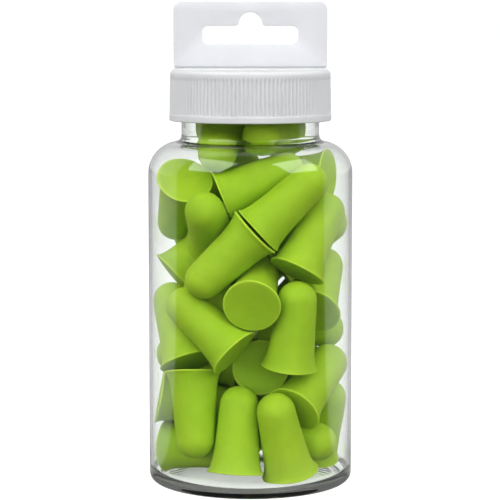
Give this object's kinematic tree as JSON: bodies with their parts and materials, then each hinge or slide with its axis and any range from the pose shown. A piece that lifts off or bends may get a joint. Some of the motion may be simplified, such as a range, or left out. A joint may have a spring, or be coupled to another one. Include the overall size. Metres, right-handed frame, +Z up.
{
  "type": "foam ear plugs in a screw-cap bottle",
  "caption": "Clear round bottle full of bell-shaped foam ear plugs, with a lined screw cap that carries a folding hang tab with a euro slot.",
  "frame": {"origin": "centre of the bottle's underside, on the surface that it stands on", "axes": "+Z up along the bottle's axis; the hang tab stands along X; -Y is the front"},
  "size_m": [0.0514, 0.0514, 0.1211],
  "materials": {
    "clear_plastic": "clear blow-moulded PET, smooth and glossy",
    "cap_plastic": "white polypropylene, satin, fine upright grip ribs",
    "tab_plastic": "white polypropylene, satin, thin moulding",
    "liner_foam": "white closed-cell polyethylene foam",
    "plug_foam": "lime-green slow-recovery polyurethane foam with a fine skin"
  },
  "bodies": {
    "bottle": {"bottle": "clear_plastic", "plug_01": "plug_foam", "plug_02": "plug_foam", "plug_03": "plug_foam", "plug_04": "plug_foam", "plug_05": "plug_foam", "plug_06": "plug_foam", "plug_07": "plug_foam", "plug_08": "plug_foam", "plug_09": "plug_foam", "plug_10": "plug_foam", "plug_11": "plug_foam", "plug_12": "plug_foam", "plug_13": "plug_foam", "plug_14": "plug_foam", "plug_15": "plug_foam", "plug_16": "plug_foam", "plug_17": "plug_foam", "plug_18": "plug_foam", "plug_19": "plug_foam", "plug_20": "plug_foam", "plug_21": "plug_foam", "plug_22": "plug_foam", "plug_23": "plug_foam", "plug_24": "plug_foam", "plug_25": "plug_foam", "plug_26": "plug_foam", "plug_27": "plug_foam", "plug_28": "plug_foam", "plug_29": "plug_foam", "plug_30": "plug_foam", "plug_31": "plug_foam", "plug_32": "plug_foam", "plug_33": "plug_foam", "plug_34": "plug_foam", "plug_35": "plug_foam", "plug_36": "plug_foam", "plug_37": "plug_foam", "plug_38": "plug_foam", "plug_39": "plug_foam", "plug_40": "plug_foam", "plug_41": "plug_foam", "plug_42": "plug_foam"},
    "liner": {"cap_liner": "liner_foam"},
    "cap": {"cap_shell": "cap_plastic"},
    "tab": {"hang_tab": "tab_plastic"}
  },
  "joints": [
    {"name": "cap_lift", "type": "slide", "parent": "bottle", "child": "liner", "axis": [0, 0, 1], "range_m": [0, 0.0127]},
    {"name": "cap_turn", "type": "hinge", "parent": "liner", "child": "cap", "pos_m": [0, 0, 0.0978], "axis": [0, 0, 1], "range_deg": [0, 1080]},
    {"name": "tab_fold", "type": "hinge", "parent": "cap", "child": "tab", "pos_m": [0, 0, 0.10525], "axis": [1, 0, 0], "range_deg": [-90, 90]}
  ],
  "couplings": [
    {"joint": "cap_lift", "follows": "cap_turn", "m_per_rad": 0.00067375}
  ]
}
